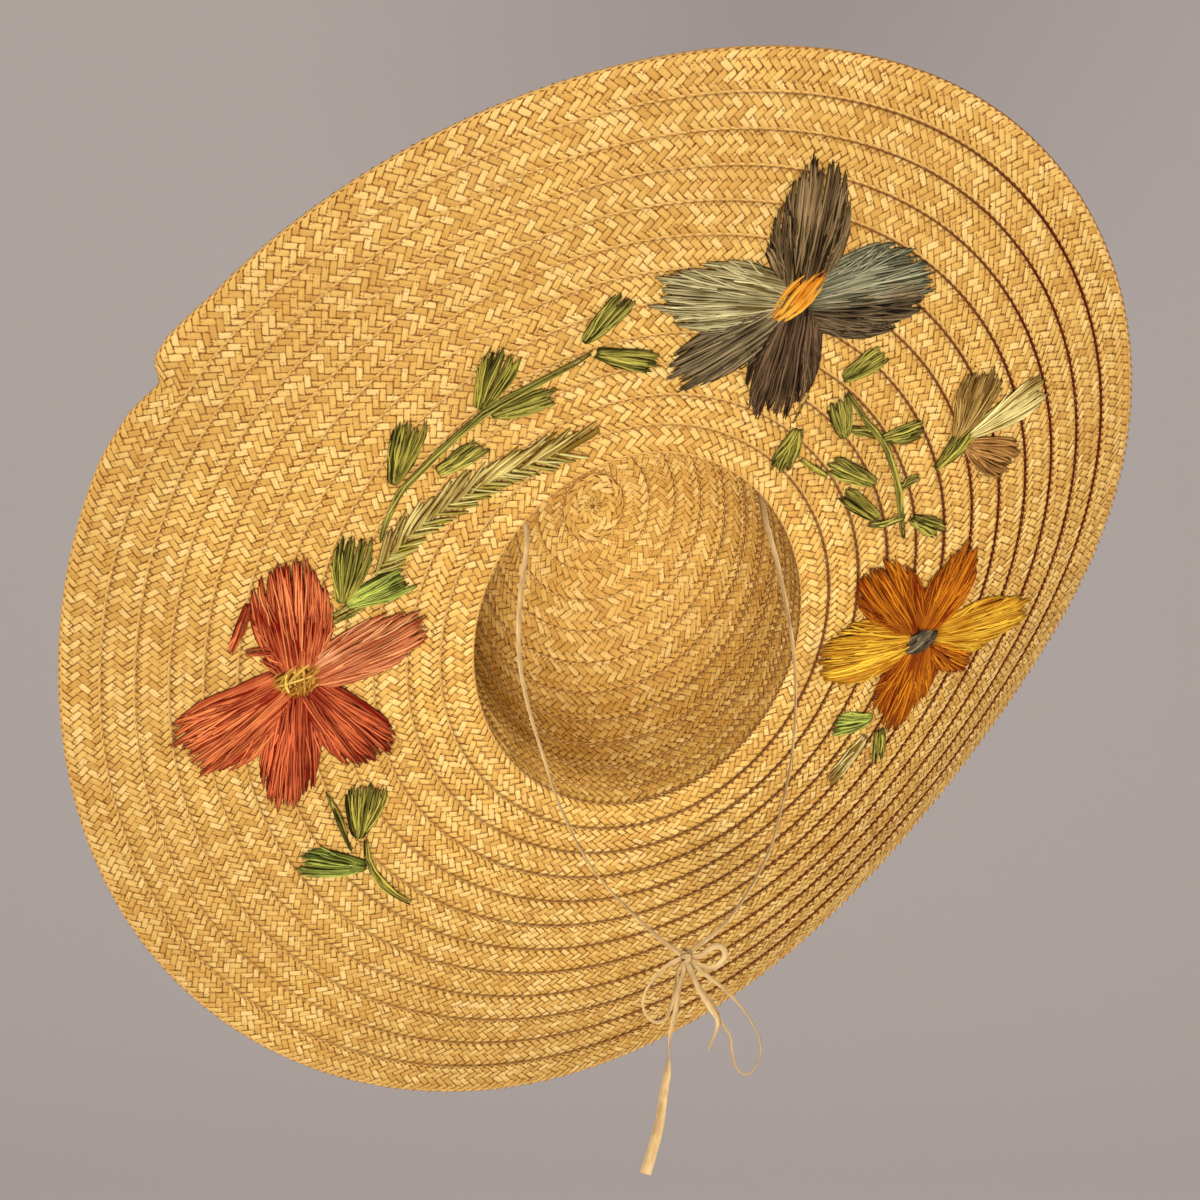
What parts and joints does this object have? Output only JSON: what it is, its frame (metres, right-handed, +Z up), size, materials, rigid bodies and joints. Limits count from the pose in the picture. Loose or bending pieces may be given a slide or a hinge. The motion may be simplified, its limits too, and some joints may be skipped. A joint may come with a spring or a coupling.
{
  "type": "wide-brim straw hat",
  "caption": "Wide-brim hat of sewn straw braid, worn far back like a halo, with a shallow round crown, raffia flowers under the brim and a raffia chin tie in a bow.",
  "frame": {"origin": "middle of the head opening, where the head sits", "axes": "+Z up as worn, front and brim's underside toward -Y, +X to the viewer's right seen from the front"},
  "size_m": [0.4748, 0.3064, 0.4722],
  "materials": {
    "straw_braid": "woven flat braid, satin, golden straw",
    "slate_raffia": "long satin stitches of dyed raffia",
    "charcoal_raffia": "long satin stitches of dyed raffia",
    "taupe_raffia": "long satin stitches of dyed raffia",
    "coral_raffia": "long satin stitches of dyed raffia",
    "salmon_raffia": "long satin stitches of dyed raffia",
    "burnt_orange_raffia": "long satin stitches of dyed raffia",
    "gold_raffia": "long satin stitches of dyed raffia",
    "yellow_raffia": "long satin stitches of dyed raffia",
    "olive_yellow_raffia": "long satin stitches of dyed raffia",
    "steel_blue_raffia": "long satin stitches of dyed raffia",
    "green_raffia": "long satin stitches of dyed raffia",
    "dark_green_raffia": "long satin stitches of dyed raffia",
    "bright_green_raffia": "long satin stitches of dyed raffia",
    "pale_green_raffia": "long satin stitches of dyed raffia",
    "brown_raffia": "long satin stitches of dyed raffia",
    "natural_raffia": "split raffia strand, satin"
  },
  "bodies": {
    "root": {"crown": "straw_braid", "brim": "straw_braid", "blue_flower_middle": "yellow_raffia", "blue_petal_top": "taupe_raffia", "blue_petal_right": "slate_raffia", "blue_petal_bottom": "charcoal_raffia", "blue_petal_low_left": "slate_raffia", "blue_petal_left": "slate_raffia", "blue_petal_sliver": "taupe_raffia", "coral_flower_middle": "olive_yellow_raffia", "coral_petal_top": "coral_raffia", "coral_petal_upper_right": "salmon_raffia", "coral_petal_lower_right": "coral_raffia", "coral_petal_bottom": "coral_raffia", "coral_petal_low_left": "salmon_raffia", "coral_petal_sliver": "coral_raffia", "gold_flower_middle": "steel_blue_raffia", "gold_petal_top_left": "burnt_orange_raffia", "gold_petal_top_right": "burnt_orange_raffia", "gold_petal_right": "gold_raffia", "gold_petal_low_right": "gold_raffia", "gold_petal_bottom": "burnt_orange_raffia", "gold_petal_left": "gold_raffia", "vine_leaf_a": "green_raffia", "vine_leaf_b": "green_raffia", "vine_leaf_c": "dark_green_raffia", "vine_leaf_d": "green_raffia", "vine_leaf_e": "dark_green_raffia", "vine_leaf_f": "green_raffia", "vine_leaf_g": "dark_green_raffia", "vine_leaf_h": "bright_green_raffia", "left_sprig_leaf_a": "dark_green_raffia", "left_sprig_leaf_b": "green_raffia", "right_spray_leaf_a": "green_raffia", "right_spray_leaf_b": "green_raffia", "right_spray_leaf_c": "green_raffia", "right_spray_leaf_d": "dark_green_raffia", "right_spray_leaf_e": "green_raffia", "right_spray_leaf_f": "dark_green_raffia", "right_spray_leaf_g": "green_raffia", "pale_sprig_olive": "brown_raffia", "pale_sprig_cream": "pale_green_raffia", "pale_sprig_tan": "brown_raffia", "pale_sprig_base": "dark_green_raffia", "low_right_leaf": "bright_green_raffia", "low_right_dark_leaf": "dark_green_raffia", "low_right_pale_leaf": "pale_green_raffia", "vine_stem": "green_raffia", "left_sprig_stem": "dark_green_raffia", "right_spray_stem": "green_raffia", "pale_feather": "pale_green_raffia", "tie_left": "natural_raffia", "tie_right": "natural_raffia", "bow_loop_left": "natural_raffia", "bow_loop_small": "natural_raffia", "bow_loop_large": "natural_raffia", "tie_tail_short": "natural_raffia", "tie_tail_long": "natural_raffia", "bow_knot": "natural_raffia"}
  },
  "joints": []
}
